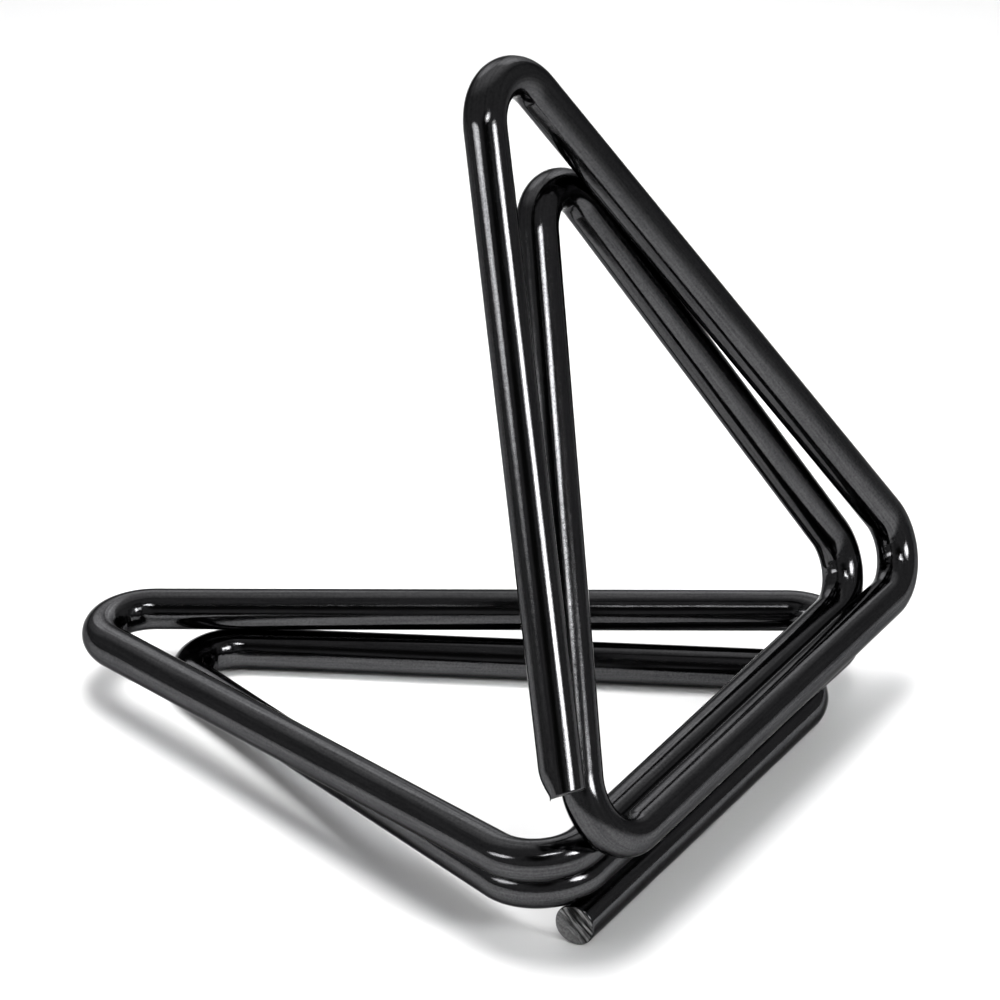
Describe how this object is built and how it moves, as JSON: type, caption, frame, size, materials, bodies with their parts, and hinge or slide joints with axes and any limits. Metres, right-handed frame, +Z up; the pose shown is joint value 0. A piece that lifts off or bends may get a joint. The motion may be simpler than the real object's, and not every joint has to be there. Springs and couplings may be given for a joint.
{
  "type": "triangle rack",
  "caption": "Small free-standing rack bent from round steel rod: nested triangular turns lie flat as its base and stand up as a leaning upright along a shared spine.",
  "frame": {"origin": "On the floor, straight below the middle of the spine: the point of the resting plane under the lowest spine strand.", "axes": "+X along the spine towards the rear bends, +Y from the spine out over the base to its apexes, +Z up."},
  "size_m": [0.1301, 0.1406, 0.146],
  "materials": {
    "rod_coat": "gloss",
    "sheared_end": "satin"
  },
  "bodies": {
    "root": {"lower_cut_end": "sheared_end", "lowest_spine_strand": "rod_coat", "inner_base_rear_bend": "rod_coat", "inner_base_rear_leg": "rod_coat", "inner_base_apex_bend": "rod_coat", "inner_base_front_leg": "rod_coat", "inner_base_front_bend": "rod_coat", "middle_spine_strand": "rod_coat", "outer_base_rear_bend": "rod_coat", "outer_base_rear_leg": "rod_coat", "outer_base_apex_bend": "rod_coat", "outer_base_front_leg": "rod_coat", "outer_base_front_bend": "rod_coat", "top_spine_strand": "rod_coat", "inner_upright_rear_bend": "rod_coat", "inner_upright_rear_leg": "rod_coat", "inner_upright_apex_bend": "rod_coat", "inner_upright_front_leg": "rod_coat", "foot_bend": "rod_coat", "outer_spine_strand": "rod_coat", "outer_upright_rear_bend": "rod_coat", "outer_upright_rear_leg": "rod_coat", "outer_upright_apex_bend": "rod_coat", "outer_upright_front_leg": "rod_coat", "upper_cut_end": "sheared_end"}
  },
  "joints": []
}
